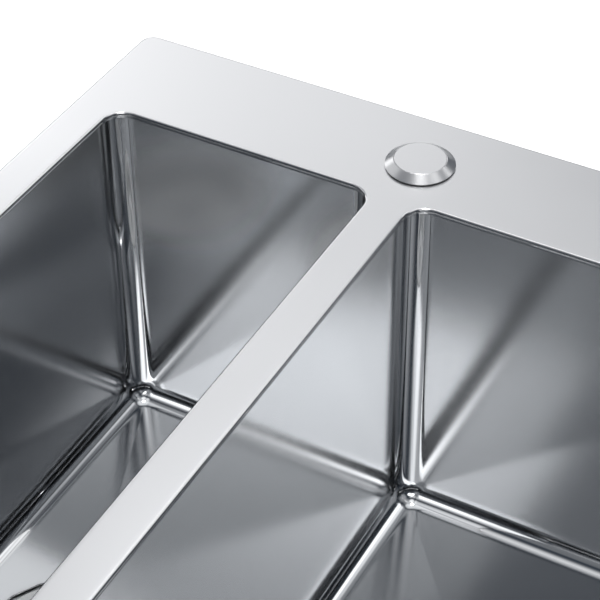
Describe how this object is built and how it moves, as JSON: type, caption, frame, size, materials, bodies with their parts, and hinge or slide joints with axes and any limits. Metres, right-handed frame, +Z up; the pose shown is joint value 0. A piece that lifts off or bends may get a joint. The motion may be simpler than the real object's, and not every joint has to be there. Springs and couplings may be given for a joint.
{
  "type": "one and a half bowl sink",
  "caption": "Inset stainless sink with a small bowl beside a large one, square rims, a rear ledge with a flat push button for the pop-up waste, strainer wastes and joined drain pipes.",
  "frame": {"origin": "middle of the sink's plan, on the worktop face that the rim seal rests on", "axes": "+X to the right along the longer side, +Y to the rear ledge, +Z up out of the worktop"},
  "size_m": [0.58, 0.5, 0.4262],
  "materials": {
    "deck_steel": "fine satin brushed",
    "bowl_steel": "satin brushed, soft reflections",
    "button_steel": "satin face, polished bevel",
    "waste_steel": "polished stainless",
    "clamp_zinc": "bright zinc plated",
    "lever_brass": "plain turned brass",
    "spring_steel": "drawn wire",
    "pipe_plastic": "moulded, eggshell",
    "fitting_plastic": "moulded, eggshell",
    "seal_rubber": "matt",
    "rim_foam": "closed-cell foam",
    "pad_rubber": "matt"
  },
  "bodies": {
    "sink": {"button_back_nut": "fitting_plastic", "button_bezel": "button_steel", "button_cable_gland": "fitting_plastic", "button_seal": "seal_rubber", "button_sleeve": "lever_brass", "button_spring": "spring_steel", "button_washer": "seal_rubber", "cable_bracket": "fitting_plastic", "clamp_studs": "clamp_zinc", "clamp_wing_nuts": "clamp_zinc", "cross_pipe": "pipe_plastic", "deck_plate": "deck_steel", "half_bowl": "bowl_steel", "half_elbow": "pipe_plastic", "half_sound_pads": "pad_rubber", "half_waste_body": "pipe_plastic", "half_waste_flange": "waste_steel", "half_waste_lower_seal": "seal_rubber", "half_waste_screw": "waste_steel", "half_waste_upper_seal": "seal_rubber", "lever_gland_nut": "fitting_plastic", "lever_seal": "seal_rubber", "main_bowl": "bowl_steel", "main_sound_pads": "pad_rubber", "main_waste_body": "pipe_plastic", "main_waste_flange": "waste_steel", "main_waste_lower_seal": "seal_rubber", "main_waste_screw": "waste_steel", "main_waste_upper_seal": "seal_rubber", "outlet_tee": "pipe_plastic", "overflow_cover": "waste_steel", "overflow_elbow": "pipe_plastic", "overflow_pipe": "pipe_plastic", "overflow_screw": "waste_steel", "overflow_seal": "seal_rubber", "rim_seal": "rim_foam", "slip_nuts": "pipe_plastic", "slip_seals": "seal_rubber"},
    "button": {"button_cap": "button_steel", "button_stem": "lever_brass"},
    "plug": {"main_basket": "waste_steel", "main_basket_seal": "seal_rubber", "main_basket_knob": "waste_steel", "lift_stem": "lever_brass"},
    "lever": {"lift_lever": "lever_brass"},
    "half_strainer": {"half_basket": "waste_steel", "half_basket_seal": "seal_rubber", "half_basket_knob": "waste_steel"},
    "claw_1": {"clamp_claw_1": "clamp_zinc"},
    "claw_2": {"clamp_claw_2": "clamp_zinc"},
    "claw_3": {"clamp_claw_3": "clamp_zinc"},
    "claw_4": {"clamp_claw_4": "clamp_zinc"},
    "claw_5": {"clamp_claw_5": "clamp_zinc"},
    "claw_6": {"clamp_claw_6": "clamp_zinc"},
    "claw_7": {"clamp_claw_7": "clamp_zinc"},
    "claw_8": {"clamp_claw_8": "clamp_zinc"}
  },
  "joints": [
    {"name": "button_press", "type": "slide", "parent": "sink", "child": "button", "axis": [0, 0, -1], "range_m": [0, 0.004], "stiffness_N_per_m": 400, "springref_m": -0.005, "deforming": ["button_spring"]},
    {"name": "plug_lift", "type": "slide", "parent": "sink", "child": "plug", "axis": [0, 0, 1], "range_m": [0, 0.01]},
    {"name": "lever_turn", "type": "hinge", "parent": "sink", "child": "lever", "pos_m": [0.0705, -0.025, -0.2828], "axis": [0, -1, 0], "range_deg": [0, 21.72]},
    {"name": "half_basket_lift", "type": "slide", "parent": "sink", "child": "half_strainer", "axis": [0, 0, 1], "range_m": [0, 0.045]},
    {"name": "claw_1_swing", "type": "hinge", "parent": "sink", "child": "claw_1", "pos_m": [-0.2747, -0.15, -0.04475], "axis": [0, 0, 1], "range_deg": [0, 90]},
    {"name": "claw_2_swing", "type": "hinge", "parent": "sink", "child": "claw_2", "pos_m": [0.2747, -0.15, -0.04475], "axis": [0, 0, 1], "range_deg": [0, 90]},
    {"name": "claw_3_swing", "type": "hinge", "parent": "sink", "child": "claw_3", "pos_m": [-0.2747, 0.15, -0.04475], "axis": [0, 0, 1], "range_deg": [0, 90]},
    {"name": "claw_4_swing", "type": "hinge", "parent": "sink", "child": "claw_4", "pos_m": [0.2747, 0.15, -0.04475], "axis": [0, 0, 1], "range_deg": [0, 90]},
    {"name": "claw_5_swing", "type": "hinge", "parent": "sink", "child": "claw_5", "pos_m": [-0.18, -0.2337, -0.04475], "axis": [0, 0, 1], "range_deg": [0, 90]},
    {"name": "claw_6_swing", "type": "hinge", "parent": "sink", "child": "claw_6", "pos_m": [-0.18, 0.2347, -0.04475], "axis": [0, 0, 1], "range_deg": [0, 90]},
    {"name": "claw_7_swing", "type": "hinge", "parent": "sink", "child": "claw_7", "pos_m": [0.18, -0.2337, -0.04475], "axis": [0, 0, 1], "range_deg": [0, 90]},
    {"name": "claw_8_swing", "type": "hinge", "parent": "sink", "child": "claw_8", "pos_m": [0.18, 0.2347, -0.04475], "axis": [0, 0, 1], "range_deg": [0, 90]}
  ],
  "couplings": [
    {"joint": "plug_lift", "follows": "button_press", "ratio": 2.5},
    {"joint": "lever_turn", "follows": "button_press", "rad_per_m": 94.741}
  ]
}
